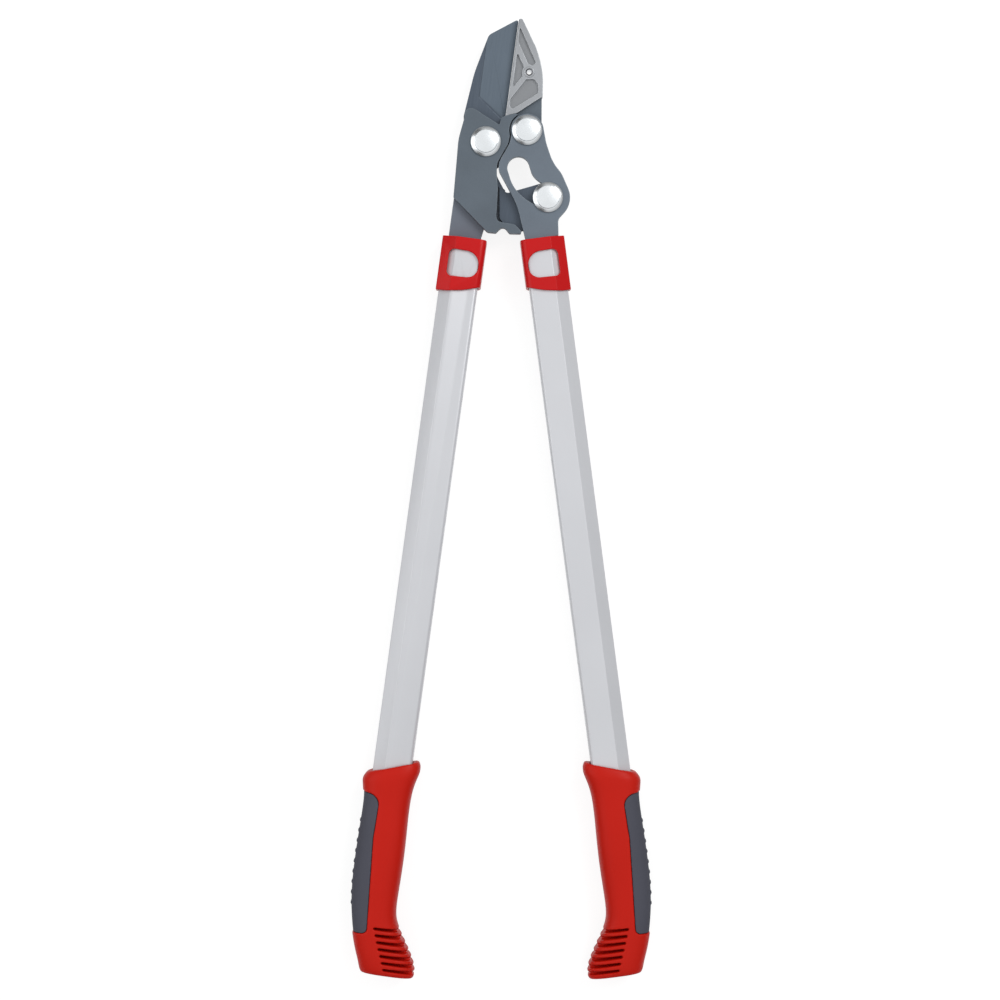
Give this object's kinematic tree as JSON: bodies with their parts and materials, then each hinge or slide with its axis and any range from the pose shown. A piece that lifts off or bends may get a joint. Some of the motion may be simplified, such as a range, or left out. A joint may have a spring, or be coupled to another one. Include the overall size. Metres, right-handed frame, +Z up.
{
  "type": "anvil lopper",
  "caption": "Long-handled anvil lopper with a cam-slot lever drive, flat tube handles and soft-backed grips, lying closed.",
  "frame": {"origin": "on the level that the tool rests on, at the end face of the lever pivot bolt", "axes": "+Y towards the anvil's tip, +X towards the moving lever's handle, +Z up out of the front face"},
  "size_m": [0.2359, 0.7494, 0.034],
  "materials": {
    "casting_paint": "satin grey paint on a casting",
    "shank_steel": "satin grey coated flat steel",
    "lever_steel": "satin grey coated flat steel",
    "blade_coating": "dark low-friction coating",
    "anvil_alloy": "blasted die-cast alloy",
    "bright_zinc": "bright zinc plating",
    "bush_bronze": "plain bronze",
    "silver_paint": "silver coated aluminium tube",
    "red_plastic": "satin moulded plastic",
    "grey_nylon": "matt moulded nylon",
    "soft_grey": "soft matt elastomer"
  },
  "bodies": {
    "anvil_side": {"head_casting": "casting_paint", "rear_plate": "shank_steel", "rear_screw_1": "bright_zinc", "rear_screw_2": "bright_zinc", "rear_screw_3": "bright_zinc", "rear_screw_4": "bright_zinc", "anvil": "anvil_alloy", "anvil_pin": "bright_zinc", "anvil_shank": "shank_steel", "blade_pivot_bolt": "bright_zinc", "blade_pivot_washer": "bright_zinc", "blade_pivot_nut": "bright_zinc", "lever_pivot_bolt": "bright_zinc", "lever_pivot_washer": "bright_zinc", "lever_pivot_nut": "bright_zinc", "anvil_collar": "red_plastic", "anvil_insert": "grey_nylon", "anvil_tube": "silver_paint", "anvil_rivet_1": "bright_zinc", "anvil_rivet_2": "bright_zinc", "anvil_grip": "red_plastic", "anvil_grip_pad": "soft_grey"},
    "lever_side": {"lever_plate": "lever_steel", "lever_bushing": "bush_bronze", "lever_collar": "red_plastic", "lever_insert": "grey_nylon", "lever_tube": "silver_paint", "lever_rivet_1": "bright_zinc", "lever_rivet_2": "bright_zinc", "lever_grip": "red_plastic", "lever_grip_pad": "soft_grey"},
    "cutting_blade": {"blade": "blade_coating", "blade_bushing": "bush_bronze", "cam_bolt": "bright_zinc", "cam_roller": "bright_zinc", "cam_washer": "bright_zinc", "cam_nut": "bright_zinc"}
  },
  "joints": [
    {"name": "lever_pivot", "type": "hinge", "parent": "anvil_side", "child": "lever_side", "pos_m": [0, 0, 0.015], "axis": [0, 0, 1], "range_deg": [0, 75]},
    {"name": "blade_pivot", "type": "hinge", "parent": "anvil_side", "child": "cutting_blade", "pos_m": [-0.0322, -0.0089, 0.015], "axis": [0, 0, 1], "range_deg": [0, 37.5]}
  ],
  "couplings": [
    {"joint": "blade_pivot", "follows": "lever_pivot", "ratio": 0.5}
  ]
}
